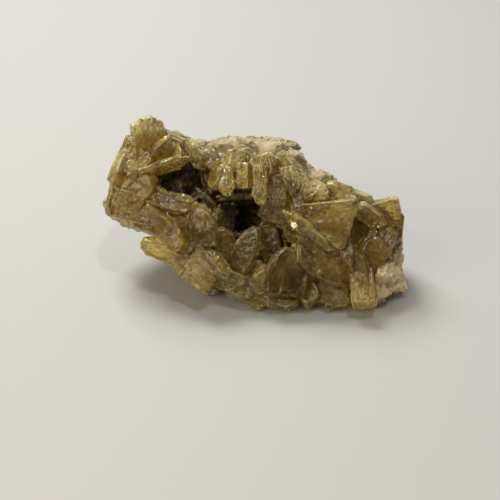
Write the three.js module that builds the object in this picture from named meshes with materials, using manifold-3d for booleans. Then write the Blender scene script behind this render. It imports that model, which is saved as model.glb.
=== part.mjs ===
// A hand-sized barite specimen: a broken chunk of pale host rock whose leaning face is covered with
// honey-brown barite crystals, grown together round a deep hollow that crystals line.
// Millimetres, +Z up. The specimen rests on a flat broken face, and its crystal face leans back.

import * as THREE from "three";
import { ConvexGeometry } from "three/addons/geometries/ConvexGeometry.js";
import { mergeVertices } from "three/addons/utils/BufferGeometryUtils.js";
import Module from "manifold-3d";

const wasm = await Module();
wasm.setup();

// Driving dimensions
const FACE_LEAN = 52; // degrees that the crystal face leans back from lying flat
const FACE_HEIGHT = 25; // height of the face's middle above the resting face
const GAP = 0.3; // between pieces that touch
const CRUST = 2.2; // thickness of the crystal crust between the large crystals
const LINING = 1.8; // thickness of the crust inside the hollow
const CRUST_DEPTH = 6; // how far behind the face's middle the crystals' ground reaches
const REACH = 80; // longer than any part of the specimen, for cutting tools

// Places on the crystal face are [across, up, out]: across to the right, up the leaning face, and out
// from it. This turns them into the specimen's own frame.
const faceToPart = new THREE.Matrix4()
  .makeRotationX(THREE.MathUtils.degToRad(FACE_LEAN))
  .setPosition(0, 0, FACE_HEIGHT);

// Chance that gives the same numbers on each run
function chanceFrom(seed) {
  let state = seed >>> 0;
  return () => {
    state = (Math.imul(state, 1664525) + 1013904223) >>> 0;
    return state / 2 ** 32;
  };
}

function latticeValue(i, j, k) {
  let n = Math.imul(i, 374761393) + Math.imul(j, 668265263) + Math.imul(k, 1274126177);
  n = Math.imul(n ^ (n >>> 13), 1103515245);
  n ^= n >>> 16;
  return ((n >>> 0) / 2 ** 32) * 2 - 1;
}

// Smooth noise from -1 to 1 at a point
function noise(point, scale, seed = 0) {
  const p = [point.x / scale + seed, point.y / scale, point.z / scale];
  const cell = p.map(Math.floor);
  const ease = p.map((value, axis) => {
    const t = value - cell[axis];
    return t * t * (3 - 2 * t);
  });
  let sum = 0;
  for (let corner = 0; corner < 8; corner++) {
    const step = [corner & 1, (corner >> 1) & 1, (corner >> 2) & 1];
    const weight = step.reduce((w, s, axis) => w * (s ? ease[axis] : 1 - ease[axis]), 1);
    sum += weight * latticeValue(cell[0] + step[0], cell[1] + step[1], cell[2] + step[2]);
  }
  return sum;
}

// Joining and cutting

function solidOf(geometry) {
  const bare = geometry.clone();
  bare.deleteAttribute("normal");
  bare.deleteAttribute("uv");
  const merged = mergeVertices(bare, 1e-4);
  return new wasm.Manifold(
    new wasm.Mesh({
      numProp: 3,
      vertProperties: merged.attributes.position.array,
      triVerts: new Uint32Array(merged.index.array),
    }),
  );
}

// A geometry drawn in face coordinates, as a solid in the specimen's frame
const solidOnFace = (geometry) => solidOf(geometry.clone().applyMatrix4(faceToPart));

const joined = (solids) => solids.reduce((sum, piece) => sum.add(piece));

// The corners and triangles of a solid's largest piece, without crumbs that a cut has left beside it
function largestPiece(solid) {
  const { numProp, numVert, vertProperties, triVerts } = solid.getMesh();
  const parent = Array.from({ length: numVert }, (_, i) => i);
  const rootOf = (i) => {
    while (parent[i] !== i) {
      parent[i] = parent[parent[i]];
      i = parent[i];
    }
    return i;
  };
  for (let i = 0; i < triVerts.length; i += 3) {
    const root = rootOf(triVerts[i]);
    parent[rootOf(triVerts[i + 1])] = root;
    parent[rootOf(triVerts[i + 2])] = root;
  }
  const sizes = new Array(numVert).fill(0);
  triVerts.forEach((i) => sizes[rootOf(i)]++);
  const largest = sizes.indexOf(Math.max(...sizes));
  const corners = [];
  triVerts.forEach((i) => {
    if (rootOf(i) === largest) corners.push(...vertProperties.subarray(i * numProp, i * numProp + 3));
  });
  const geometry = new THREE.BufferGeometry();
  geometry.setAttribute("position", new THREE.Float32BufferAttribute(corners, 3));
  return mergeVertices(geometry, 1e-5);
}

function meshOf(name, solid, material) {
  const geometry = largestPiece(solid);
  geometry.computeVertexNormals();
  const mesh = new THREE.Mesh(geometry, material);
  mesh.name = name;
  return mesh;
}

// The host rock: cross-sections along its length, each [across, top, bottom, front, back] on the face
const SECTIONS = [
  [-49, 10, 0.5, -4, -12],
  [-45, 20, -2.5, -1, -18],
  [-39, 27, -5, 0, -22],
  [-32, 29.5, -8, 0, -24],
  [-24, 28, -18, -1, -27],
  [-16, 26, -24.5, -2, -29],
  [-8, 28.5, -26, -2, -30],
  [0, 28, -28, -2, -31],
  [8, 27, -30, -2, -31],
  [14, 24.5, -30.5, -1, -30],
  [20, 17, -30.5, -1, -28],
  [27, 12, -30.5, 0, -26],
  [34, 6.5, -30.5, 0, -24],
  [41, 5, -29.5, -1, -21],
  [46, 2, -27, -3, -17],
  [49, -6, -22, -6, -13],
];
const RING_POINTS = 18;
const SQUARENESS = 0.72; // 1 is an oval section, and less is squarer
const ROCK_LUMPS = { size: 12, height: 1.4 };
const ROCK_GRIT = { size: 5, height: 0.7 };

const rounded = (value) => Math.sign(value) * Math.abs(value) ** SQUARENESS;

function rockRings(grow) {
  return SECTIONS.map(([across, top, bottom, front, back]) => {
    const ring = [];
    for (let i = 0; i < RING_POINTS; i++) {
      const angle = (i / RING_POINTS) * Math.PI * 2;
      const outward = new THREE.Vector3(0, Math.cos(angle), Math.sin(angle));
      const point = new THREE.Vector3(
        across,
        (top + bottom) / 2 + ((top - bottom) / 2) * rounded(outward.y),
        (front + back) / 2 + ((front - back) / 2) * rounded(outward.z),
      );
      const relief =
        ROCK_LUMPS.height * noise(point, ROCK_LUMPS.size) +
        ROCK_GRIT.height * noise(point, ROCK_GRIT.size, 40);
      ring.push(point.addScaledVector(outward, grow + relief));
    }
    return ring;
  });
}

function rockBody(grow) {
  const rings = rockRings(grow);
  const ends = [rings[0], rings.at(-1)].map((ring, end) => {
    const middle = ring.reduce((sum, p) => sum.add(p), new THREE.Vector3()).divideScalar(ring.length);
    middle.x += (end ? 1 : -1) * (1.2 + grow);
    return middle;
  });
  const points = [...rings.flat(), ...ends];
  const faces = [];
  const at = (ring, i) => ring * RING_POINTS + (i % RING_POINTS);
  for (let ring = 0; ring + 1 < rings.length; ring++) {
    for (let i = 0; i < RING_POINTS; i++) {
      faces.push(at(ring, i), at(ring, i + 1), at(ring + 1, i));
      faces.push(at(ring + 1, i), at(ring, i + 1), at(ring + 1, i + 1));
    }
  }
  const last = rings.length - 1;
  for (let i = 0; i < RING_POINTS; i++) {
    faces.push(points.length - 2, at(0, i + 1), at(0, i));
    faces.push(points.length - 1, at(last, i), at(last, i + 1));
  }
  const geometry = new THREE.BufferGeometry().setFromPoints(points);
  geometry.setIndex(faces);
  return geometry;
}

// Lumps that stand out of the rock: [across, up, out, radius]
const ROCK_KNOBS = [
  [-11, 22.5, -9, 5],
  [-3, 23, -7, 4],
  [6, 21.5, -8, 5],
  [13, 19, -7, 4.5],
  [22, 12, -6, 4.5],
  [-18, 21, -8, 4.5],
  [-27, 25.5, -7, 4.5],
  [41, -19.5, -1.5, 6],
  [39.5, -25, -2, 5.5],
  [45.5, -22, -5, 5],
  [-15, -23, -5, 4.5],
  [-5, -25.5, -6, 5],
  [-46, 4, -8, 5],
  [-20, 10, -25, 7],
  [5, 8, -28, 8],
  [25, -8, -23, 7],
  [-34, 2, -20, 6],
];

function knob([across, up, out, radius], index, grow) {
  const chance = chanceFrom(500 + index);
  const corners = new THREE.IcosahedronGeometry(1, 0).attributes.position;
  const points = [];
  for (let i = 0; i < corners.count; i++) {
    const corner = new THREE.Vector3().fromBufferAttribute(corners, i);
    const spread = 1 + 0.3 * noise(corner, 0.6, index);
    points.push(corner.multiplyScalar(radius * spread + grow));
  }
  const place = new THREE.Matrix4()
    .makeRotationFromEuler(new THREE.Euler(chance() * 3, chance() * 3, chance() * 3))
    .premultiply(new THREE.Matrix4().makeScale(1.35, 0.9, 1.1))
    .setPosition(across, up, out);
  return new ConvexGeometry(points).applyMatrix4(place);
}

// Flat broken faces of the rock: each cuts off what lies beyond a point, facing [across, up, out]
const BREAKS = [
  { at: [-20, 21, -24], facing: [-0.2, 0.75, -0.65] },
  { at: [12, 18, -26], facing: [0.25, 0.7, -0.7] },
  { at: [-40, 10, -17], facing: [-0.55, 0.1, -0.8] },
  { at: [36, -3, -19], facing: [0.5, 0.45, -0.75] },
  { at: [-30, -6, -20], facing: [-0.35, -0.7, -0.6] },
  { at: [0, 2, -30], facing: [0.05, 0.1, -1] },
];

function breakCutter({ at, facing }, grow) {
  const away = new THREE.Vector3(...facing).normalize();
  const turn = new THREE.Quaternion().setFromUnitVectors(new THREE.Vector3(0, 0, 1), away);
  const centre = new THREE.Vector3(...at).addScaledVector(away, REACH / 2 + grow);
  const place = new THREE.Matrix4().makeRotationFromQuaternion(turn).setPosition(centre);
  return solidOnFace(new THREE.BoxGeometry(REACH, REACH, REACH).applyMatrix4(place));
}

// Hollows in the face: centre [across, up, out], radii [across, up, deep] and turn in degrees
const HOLLOWS = [
  { centre: [-3.5, 0, -4], radii: [11, 8.5, 15], turn: 0 },
  { centre: [3, -9, -3], radii: [9, 6.5, 10], turn: -20 },
  { centre: [-22, 11, -2], radii: [11.5, 7.5, 12], turn: 12 },
  { centre: [-12, 6, -3], radii: [7, 5, 9], turn: -20 },
];
const SIDE_HOLLOW = { centre: [33, -5.5, 1], radii: [4.5, 6.5, 7], turn: -15 };

function hollowCutter({ centre, radii, turn }, grow) {
  const ball = new THREE.IcosahedronGeometry(1, 1);
  const place = new THREE.Matrix4()
    .makeRotationZ(THREE.MathUtils.degToRad(turn))
    .setPosition(...centre)
    .scale(new THREE.Vector3(...radii.map((radius) => radius + grow)));
  return solidOnFace(ball.applyMatrix4(place));
}

const hollowSpace = (grow) => joined(HOLLOWS.map((hollow) => hollowCutter(hollow, grow)));

// Barite crystals: tablets with an edge all round half-way up, and prisms and blocks with a chisel end
const OUTLINES = {
  // [along, across, up] as shares of the half-length, half-width and half-thickness, for one side
  tablet: [
    [[-1, 0.5, 0], [-0.4, 1, 0], [0.45, 1, 0], [1, 0.4, 0]],
    [[-0.8, 0.5, 1], [0.1, 0.86, 1], [0.84, 0.36, 1]],
  ],
  prism: [[[-1, 0.9, 1], [0.66, 1, 1], [1, 0.6, 0.35]]],
  block: [[[-1, 0.86, 0.9], [0.84, 1, 1], [1, 0.8, 0.6]]],
};

function crystalGeometry(kind, length, width, thickness, grow) {
  const half = [length, width, thickness].map((size) => size / 2 + grow);
  const points = [];
  for (const [along, across, up] of OUTLINES[kind].flat()) {
    for (const side of [-1, 1]) {
      for (const level of up ? [-up, up] : [0]) {
        points.push(new THREE.Vector3(along * half[0], side * across * half[1], level * half[2]));
      }
    }
  }
  return new ConvexGeometry(points);
}

// turn is the way the crystal points on the face, lean how far its tip leans out, roll about its length
function crystal([kind, across, up, out, length, width, thickness, turn, lean, roll], grow = 0) {
  const [turnBy, leanBy, rollBy] = [turn, lean, roll].map(THREE.MathUtils.degToRad);
  const place = new THREE.Matrix4()
    .makeRotationFromEuler(new THREE.Euler(rollBy, -leanBy, turnBy, "ZYX"))
    .setPosition(across, up, out);
  return solidOnFace(crystalGeometry(kind, length, width, thickness, grow).applyMatrix4(place));
}

// The large crystals of the face: kind, centre [across, up, out], length, width, thickness, then
// turn, lean and roll in degrees
const FACE_CRYSTALS = [
  // upper left head
  ["block", -35, 25.5, -1, 12, 10, 10, 25, 12, 20],
  ["block", -39.5, 20.5, 0, 12, 10, 8, 80, 12, -25],
  ["block", -27.5, 24, -1, 11, 8, 8, -25, 12, 15],
  ["tablet", -31, 21, 3.5, 13, 9, 6, 55, 25, 35],
  ["tablet", -36, 17.5, 3.5, 11, 9, 5, 35, 15, -30],
  ["tablet", -26, 19.5, 4, 9, 5, 2.6, -60, 35, 15],
  ["tablet", -32.5, 14.5, 3, 23, 9, 3.4, 20, 4, 48],
  ["block", -19.5, 20, 1, 11, 7, 7, -45, 20, 20],
  ["tablet", -14.5, 18.5, 1.5, 9, 6, 5, -70, 15, -20],
  ["block", -43.2, 14.5, -1, 12, 9, 8, 65, 8, 30],
  // left block
  ["block", -39, 3, 1, 17, 12, 10, -15, 8, 12],
  ["tablet", -37, 8.5, 3, 14, 12, 8, 60, 12, -12],
  ["tablet", -28.5, 4.5, 4, 17, 9, 4.5, -14, 0, -32],
  ["block", -45.4, 6, -2, 10, 8, 7, 75, 4, 20],
  ["tablet", -32, -2, 3.5, 17, 10, 6.5, -30, 8, 25],
  ["prism", -25.8, -6.5, 6.2, 12, 3.8, 3.6, -80, 18, 25],
  ["tablet", -22.5, -9, 3, 10, 7, 5, -60, 12, 10],
  ["tablet", -24.5, -0.5, 3, 13, 8, 5, -45, 5, -15],
  // leaf-shaped crystals left of the hollow
  ["tablet", -18.6, -3.2, 3, 16, 10.5, 4, 102, 10, -15],
  ["tablet", -13.2, -3.8, -0.5, 14, 7, 2.8, 74, -4, 58],
  // lower left blades
  ["prism", -31, -11.4, 3, 14, 6.5, 5, 163, 4, -22],
  ["block", -18, -16.4, 2.5, 15, 13, 8, -50, 8, -18],
  ["tablet", -12.5, -15.5, 5, 14, 6, 3.6, -52, 12, -45],
  // rim of the hollow
  ["tablet", -10.5, -10.5, 1, 14, 10, 5, 97, 18, 10],
  ["tablet", -3, -11.5, 2.5, 18, 8.5, 4.5, 68, 14, -20],
  ["tablet", 10.5, -17.5, 3, 18, 16, 7, 62, 5, 4],
  ["tablet", 4.4, -8.2, -1.5, 15, 7.5, 4, 100, 2, -8],
  // upper ridge
  ["tablet", -12.3, 12.5, 3, 11, 6, 3.4, -107, 18, 48],
  ["tablet", -9.6, 11, 4.5, 11, 6, 4.5, -84, 18, 0],
  ["block", -3.8, 12.6, 4, 9, 5, 5, -90, 14, 15],
  ["prism", 1.6, 9.4, 6.5, 13, 5.4, 4.8, -89, 14, 5],
  ["block", 7.4, 7.6, 3.5, 11, 7, 6, -90, 8, 8],
  ["tablet", 7, 1, 1, 13, 8, 3.6, -16, 4, 20],
  ["tablet", 11, 11, 4, 11, 6.5, 5, -72, 14, -20],
  ["block", 15.5, 9, 3.5, 11, 8, 6, -60, 10, 12],
  ["tablet", 3, 15.5, 2.5, 11, 8, 6, -80, 10, 25],
  ["tablet", -6, 17, 1.5, 10, 8, 6, -100, 12, -20],
  ["block", 10, 16, 1, 10, 8, 6, -50, 8, 30],
  ["tablet", 14, 3.5, 4, 10, 6, 4, -75, 12, 30],
  // right central wedge
  ["tablet", 24.2, 0.5, 5.5, 21, 17, 8, -56, 8, 5],
  ["tablet", 18.8, -3.2, 7, 21, 6.5, 3.6, -36, 0, 42],
  ["block", 15, -5.5, 2, 11, 9, 7, -20, 8, -12],
  ["tablet", 19, 7.5, 3, 13, 9, 6, -30, 10, -18],
  ["tablet", 27.5, 6.5, 2, 12, 8, 6, -20, 8, 20],
  // right lower plates
  ["tablet", 21.5, -15, 4, 21, 15, 6.5, -56, 2, -10],
  ["tablet", 27.5, -11, 5, 13, 9, 6, -62, 10, 15],
  ["block", 24.5, -25, 0, 15, 8, 8, 5, 0, 28],
  ["block", 17.5, -26, 1, 9, 7, 6, 20, 8, -20],
  ["block", -6, -22, 1.5, 13, 9, 7, -20, 8, 10],
  ["tablet", 0.5, -25.5, 0, 13, 8, 7, -25, 0, 20],
  ["block", 7.5, -27, 0.5, 14, 8, 7, 4, 4, -15],
  ["tablet", 2.5, -21, 3.5, 11, 7, 5, 40, 12, 10],
  // corner prism
  ["block", 34.6, -23.4, 4, 15, 8, 7.5, -88, 10, 22],
  ["tablet", 33.4, -16, 4.5, 11, 6, 4.5, 112, 8, -30],
  // right side
  ["tablet", 38, -12.5, 1.5, 14, 12, 7, 62, 8, 8],
  ["block", 41.8, 1.6, -1, 12, 9, 9, 12, 8, 12],
  ["block", 44.6, -5, -1.5, 13, 8, 8, 88, 0, 10],
  ["tablet", 37.5, -0.5, 2.5, 12, 6.5, 5, -35, 8, 25],
  ["tablet", 42, -8.5, 1, 12, 9, 7, 50, 8, -15],
  ["tablet", 34, 4.5, 0, 12, 7, 6, -22, 8, 15],
];

// The crystals inside the hollow
const HOLLOW_CRYSTALS = [
  ["tablet", -9.8, 0, -6, 16, 7, 3, 80, -6, 25],
  ["tablet", 4.2, -8, -6, 16, 10, 3.6, 78, -4, -12],
  ["tablet", -7, 5, -6, 15, 9, 2.4, 4, 0, 68],
  ["prism", -17, 5.6, -4, 10, 4.5, 3.4, -40, 22, 20],
  ["tablet", -29, 9.5, -7, 15, 11, 3.4, 112, -8, 8],
  ["tablet", -14.8, 13.5, -6, 15, 9, 3.4, 102, -4, 40],
  ["tablet", -21.5, 13, -9, 12, 9, 4, 60, 12, 25],
  ["tablet", -1, -2, -14, 12, 9, 4, 60, 30, -25],
  ["tablet", 8, -3, -7, 11, 7, 3, 20, -10, 50],
  ["tablet", -12, 8, -8, 10, 7, 3, -30, 20, 60],
];

// The part of the face that crystals cover, as [across, up] round its edge. Bare rock shows beyond it.
const COVERED = [
  [-47.5, -6], [-47.5, 8], [-46, 16], [-42, 26], [-37, 33], [-29.5, 28.5], [-23, 25], [-16.5, 22], [-12, 20],
  [-5, 19.5], [2, 19], [9.6, 18], [14.5, 14], [20.4, 11], [26, 8.5], [31.5, 6.5], [36.7, 7], [41, 9],
  [53, 8], [53, -12], [46, -13.5], [40, -15.5], [38.6, -20], [38.6, -36], [3, -36], [-4, -25.5],
  [-14, -23.5], [-23, -22.5], [-30, -18], [-40, -9],
];

// The space over the covered part, from the crystals' ground outward
function coveredSpace(grow) {
  const corners = COVERED.map(([across, up]) => new THREE.Vector2(across, up));
  const outline = corners.map((corner, i) => {
    const along = corners[(i + 1) % corners.length].clone().sub(corners.at(i - 1)).normalize();
    return new THREE.Vector2(-along.y, along.x).multiplyScalar(grow).add(corner);
  });
  const depth = CRUST_DEPTH + REACH / 2 + grow;
  const block = new THREE.ExtrudeGeometry(new THREE.Shape(outline), { depth, bevelEnabled: false });
  return solidOnFace(block.translate(0, 0, -CRUST_DEPTH - grow));
}

// The pieces

const floorSide = solidOf(
  new THREE.BoxGeometry(3 * REACH, 3 * REACH, REACH).translate(0, 0, -REACH / 2),
);

// The rock, or with a gap the space that the crystals keep clear of
function rockSolid(gap) {
  const knobs = ROCK_KNOBS.map((row, index) => solidOnFace(knob(row, index, gap)));
  let rock = joined([solidOnFace(rockBody(gap)), ...knobs]);
  for (const face of BREAKS) rock = rock.subtract(breakCutter(face, gap));
  return rock.subtract(coveredSpace(GAP - gap)).subtract(hollowSpace(-gap));
}

function crustSolid(gap) {
  return solidOnFace(rockBody(CRUST + gap))
    .intersect(coveredSpace(gap))
    .subtract(hollowSpace(-gap))
    .subtract(hollowCutter(SIDE_HOLLOW, -gap));
}

const rock = rockSolid(0).subtract(floorSide);
const rockAndGap = rockSolid(GAP);

const faceCrystals = joined([crustSolid(0), ...FACE_CRYSTALS.map((row) => crystal(row))])
  .subtract(rockAndGap)
  .subtract(floorSide);

const faceAndGap = joined([crustSolid(GAP), ...FACE_CRYSTALS.map((row) => crystal(row, GAP))]);
const hollowRoom = hollowSpace(-GAP);
const lining = hollowRoom.subtract(hollowSpace(-GAP - LINING)).intersect(solidOnFace(rockBody(0)));
const hollowCrystals = joined([lining, ...HOLLOW_CRYSTALS.map((row) => crystal(row).intersect(hollowRoom))])
  .subtract(faceAndGap);

// The specimen, with its origin on the resting face, below the middle of its box

const paleRock = new THREE.MeshStandardMaterial({ color: 0xa9a18c, roughness: 0.9, metalness: 0 });
const honeyBarite = new THREE.MeshStandardMaterial({ color: 0x9a7a3c, roughness: 0.3, metalness: 0 });
const smokyBarite = new THREE.MeshStandardMaterial({ color: 0x5d4a28, roughness: 0.35, metalness: 0 });

const specimen = new THREE.Group();
specimen.add(
  meshOf("host_rock", rock, paleRock),
  meshOf("barite_crystals", faceCrystals, honeyBarite),
  meshOf("hollow_crystals", hollowCrystals, smokyBarite),
);
const box = new THREE.Box3().setFromObject(specimen);
const middle = box.getCenter(new THREE.Vector3());
specimen.position.set(-middle.x, -middle.y, -box.min.z);

export default specimen;
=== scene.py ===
"""The looks of a barite specimen: honey-brown translucent crystals on a pale host rock, round a dark
hollow. Tables are in millimetres on the crystal face, as [across, up, out]; the scene is in metres."""

import math

import bmesh
import bpy
import numpy as np
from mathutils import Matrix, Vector, noise
from mathutils.bvhtree import BVHTree


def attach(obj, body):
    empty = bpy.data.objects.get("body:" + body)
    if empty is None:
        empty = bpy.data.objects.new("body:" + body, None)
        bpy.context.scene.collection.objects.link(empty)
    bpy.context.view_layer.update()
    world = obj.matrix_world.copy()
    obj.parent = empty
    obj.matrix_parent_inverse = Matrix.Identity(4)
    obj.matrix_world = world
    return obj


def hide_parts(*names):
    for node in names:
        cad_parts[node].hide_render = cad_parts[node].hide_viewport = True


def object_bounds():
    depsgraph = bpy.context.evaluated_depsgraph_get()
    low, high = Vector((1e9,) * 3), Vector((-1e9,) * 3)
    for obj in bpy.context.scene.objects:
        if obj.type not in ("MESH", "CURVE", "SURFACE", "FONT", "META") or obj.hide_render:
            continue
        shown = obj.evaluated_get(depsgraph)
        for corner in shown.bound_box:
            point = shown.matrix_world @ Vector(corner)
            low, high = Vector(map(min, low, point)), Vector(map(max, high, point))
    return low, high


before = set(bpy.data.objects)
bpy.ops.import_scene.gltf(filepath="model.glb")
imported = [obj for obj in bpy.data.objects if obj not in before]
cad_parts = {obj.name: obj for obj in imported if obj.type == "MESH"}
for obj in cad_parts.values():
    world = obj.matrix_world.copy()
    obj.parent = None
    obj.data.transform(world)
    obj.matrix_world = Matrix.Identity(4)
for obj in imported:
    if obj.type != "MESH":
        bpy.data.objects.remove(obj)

FIRST_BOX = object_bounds()
MM = 0.001
FACE_LEAN = math.radians(52)
FACE_MIDDLE = np.array([0.2009, -4.8225, 25.0])  # the face's middle in the specimen's frame
FACE_AXES = np.array(
    [
        [1, 0, 0],
        [0, math.cos(FACE_LEAN), math.sin(FACE_LEAN)],
        [0, -math.sin(FACE_LEAN), math.cos(FACE_LEAN)],
    ]
)
FLOOR_CLEAR = 0.08  # mm that every crystal keeps above the floor

# How fine the skins are, in mm a voxel
ROCK_VOXEL = 0.5
CRUST_VOXEL = 0.62
CRYSTAL_VOXEL = 0.28
INNER_VOXEL = 0.32
LINING_VOXEL = 0.45

CRYSTAL_DEPTH = 0.3  # mm of relief on the crystals of the face
INNER_DEPTH = 0.25
LEAST_BODY = 400  # corners that a separate body of a skin has at least

STOUT = ("block", "prism", "stub")  # kinds made of thick columns
WHOLE = ("kite", "arch", "wedge")  # kinds with one column and no side growths
TAPERS = {"stub": 0.26, "block": 0, "prism": 0}  # how much shorter a crystal's outer columns are
OTHER_TAPER = 0.12
GROWTH_AREA = 26  # mm2 of a crystal for each of its side growths
GROWTHS_END = 46  # mm across, where side growths stop

# Large crystals of the face: kind, centre, length, width, thickness, then turn, lean and roll in
# degrees, and how smoky it is from 0 to 1
FACE_CRYSTALS = [
    # upper left head
    ("stub", -34.9, 24, 0.5, 17, 13, 10, 96, 8, 12, 0.1),
    ("block", -40.5, 19.5, 0, 12, 9, 8, 60, 12, -25, 0.15),
    ("block", -27.5, 24, -1, 11, 8, 8, -26, 12, 15, 0.3),
    ("kite", -30, 20.5, 4, 13, 8, 4, 62, 22, 30, 0.25),
    ("tablet", -37, 16, 3.5, 12, 9, 5, 28, 14, -26, 0.2),
    ("kite", -25.5, 19.5, 4, 10, 5.5, 2.6, -60, 30, 15, 0.1),
    ("tablet", -31.5, 14.6, 4.6, 24, 7, 2.2, 20, 3, 66, 0),
    ("block", -19.5, 20, 1, 11, 7, 7, -45, 20, 20, 0.3),
    ("tablet", -14.5, 18.5, 1.5, 9, 6, 5, -70, 15, -20, 0.35),
    ("block", -43.2, 14.5, -1, 12, 9, 8, 65, 8, 30, 0.3),
    # left block
    ("block", -39, 3, 1, 17, 12, 10, -15, 8, 12, 0.15),
    ("tablet", -37, 8.5, 3, 14, 12, 8, 60, 12, -12, 0.2),
    ("tablet", -28.5, 4.2, 4.5, 18, 8.5, 4, -14, 2, -18, 0.1),
    ("block", -45.4, 6, -2, 10, 8, 7, 75, 4, 20, 0.3),
    ("tablet", -32, -2, 3.5, 17, 10, 6.5, -30, 8, 25, 0.15),
    ("tablet", -22.5, -9, 3, 10, 7, 5, -60, 12, 10, 0.3),
    ("tablet", -25.5, -0.5, 2.5, 12, 7, 5, -45, 5, -15, 0.2),
    ("prism", -25.8, -6.5, 6.2, 12, 3.8, 3.6, -80, 18, 25, 0.05),
    # leaf-shaped crystals left of the hollow
    ("arch", -17.6, -4.3, 5, 14, 11, 4.5, 98, 8, -12, 0.6),
    ("tablet", -13.2, -3.8, -0.5, 14, 7, 2.8, 74, -4, 58, 0.6),
    # lower left blades
    ("prism", -29.9, -12.1, 3, 16.5, 6.5, 5, 156, 4, -28, 0.0),
    ("block", -18.5, -16.2, 3, 16.5, 14, 8, -42, 14, 4, 0.0),
    ("tablet", -12.5, -15.5, 5, 14, 6, 3.6, -52, 12, -45, 0.1),
    # rim of the hollow
    ("arch", -10.5, -10.5, 1, 14, 10, 5, 97, 18, 10, 0.5),
    ("arch", -3, -11.5, 2.8, 18, 8.5, 4.5, 66, 14, -20, 0.55),
    ("arch", 10.3, -18.5, 4, 17, 15, 7, 86, 4, 4, 1),
    ("tablet", 4.4, -8.2, -1.5, 15, 7.5, 4, 100, 2, -8, 0.85),
    # upper ridge
    ("tablet", -12.3, 12.5, 3, 11, 6, 3.4, -107, 18, 48, 0.3),
    ("tablet", -9.6, 11, 4.5, 11, 6, 4.5, -84, 18, 0, 0.2),
    ("block", -3.8, 12.6, 4, 9, 5, 5, -90, 14, 15, 0.2),
    ("prism", 1.6, 9.4, 6.5, 13, 5.4, 4.8, -89, 14, 5, 0.18),
    ("block", 7.4, 7.6, 3.5, 11, 7, 6, -90, 8, 8, 0.4),
    ("tablet", 7, 1, 1, 13, 8, 3.6, -16, 4, 20, 0.55),
    ("tablet", 11, 11, 4, 11, 6.5, 5, -72, 14, -20, 0.25),
    ("block", 15.5, 9, 3.5, 11, 8, 6, -60, 10, 12, 0.3),
    ("tablet", 3, 15.5, 2.5, 11, 8, 6, -80, 10, 25, 0.2),
    ("tablet", -6, 17, 1.5, 10, 8, 6, -100, 12, -20, 0.2),
    ("block", 10, 16, 1, 10, 8, 6, -50, 8, 30, 0.25),
    ("tablet", 14, 3.5, 4, 10, 6, 4, -75, 12, 30, 0.4),
    # right central wedge
    ("wedge", 21.2, -0.6, 6.8, 21, 18, 6.5, -18, 5, 5, 0.05),
    ("tablet", 17.4, -5.4, 7, 21, 6, 3.4, -38, 0, 46, 0),
    ("block", 12.2, -3.4, 8.8, 4.6, 2.2, 1.6, -80, 41, 6, 0),
    ("block", 15, -5.5, 2, 11, 9, 7, -20, 8, -12, 0.4),
    ("tablet", 19, 7.5, 3, 13, 9, 6, -30, 10, -18, 0.2),
    ("tablet", 27.5, 6.5, 2, 12, 8, 6, -20, 8, 20, 0.3),
    # right lower plates
    ("kite", 21.5, -15, 4.5, 21, 15, 6.5, -56, 2, -10, 0.3),
    ("tablet", 28.5, -11, 4, 13, 9, 6, -62, 10, 15, 0.8),
    ("tablet", 25.5, -25, 0.5, 15, 9, 8, -24, 0, 28, 0.2),
    ("tablet", 17.5, -25.5, 1, 10, 8, 6, 48, 8, -20, 0.4),
    ("block", -6, -22, 1.5, 13, 9, 7, -20, 8, 10, 0.1),
    ("tablet", 0.5, -25.5, 0, 13, 8, 7, -25, 0, 20, 0.2),
    ("tablet", 8, -27, 0.5, 14, 8, 7, -12, 4, -15, 0.4),
    ("tablet", 2.5, -21, 3.5, 11, 7, 5, 40, 12, 10, 0.15),
    # corner prism
    ("block", 34.6, -23.4, 4, 14.5, 10, 7.5, -88, 13, 10, 0.0),
    ("tablet", 33.4, -16, 4.5, 11, 6, 4.5, 112, 8, -30, 0.2),
    # right side
    ("tablet", 38, -12.5, 1.5, 14, 12, 7, 62, 8, 8, 0.6),
    ("block", 41.8, 1.6, -1, 12, 9, 9, 12, 8, 12, 0.15),
    ("block", 44.6, -5, -1.5, 13, 8, 8, 88, 0, 10, 0.4),
    ("tablet", 37.5, -0.5, 2.5, 12, 6.5, 5, -35, 8, 25, 0.4),
    ("tablet", 42, -8.5, 1, 12, 9, 7, 50, 8, -15, 0.6),
    ("tablet", 34, 4.5, -0.5, 12, 7, 6, -22, 8, 15, 0.9),
]

# Crystals inside the hollows, in the same way
HOLLOW_CRYSTALS = [
    ("tablet", -9.8, 0, -6, 16, 7, 3, 80, -6, 25, 0.8),
    ("tablet", 4.2, -8, -6, 16, 10, 3.6, 78, -4, -12, 0.9),
    ("tablet", -7, 5, -6, 15, 9, 2.4, 4, 0, 68, 0.8),
    ("prism", -17, 5.6, -4, 10, 4.5, 3.4, -40, 22, 20, 0.6),
    ("tablet", -29, 9.5, -7, 15, 11, 3.4, 112, -8, 8, 0.6),
    ("tablet", -14.8, 13.5, -6, 15, 9, 3.4, 102, -4, 40, 0.7),
    ("tablet", -21.5, 13, -9, 12, 9, 4, 60, 12, 25, 0.7),
    ("tablet", -1, -2, -14, 12, 9, 4, 60, 30, -25, 0.9),
    ("tablet", 8, -3, -7, 11, 7, 3, 20, -10, 50, 0.9),
    ("tablet", -12, 8, -8, 10, 7, 3, -30, 20, 60, 0.8),
]

# The hollows: centre, radii [across, up, deep] and turn in degrees
HOLLOWS = [
    ((-3.5, 0, -4), (11, 8.5, 15), 0),
    ((3, -9, -3), (9, 6.5, 10), -20),
    ((-22, 11, -2), (11.5, 7.5, 12), 12),
    ((-12, 6, -3), (7, 5, 9), -20),
    ((33, -5.5, 1), (4.5, 6.5, 7), -15),
]

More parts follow.
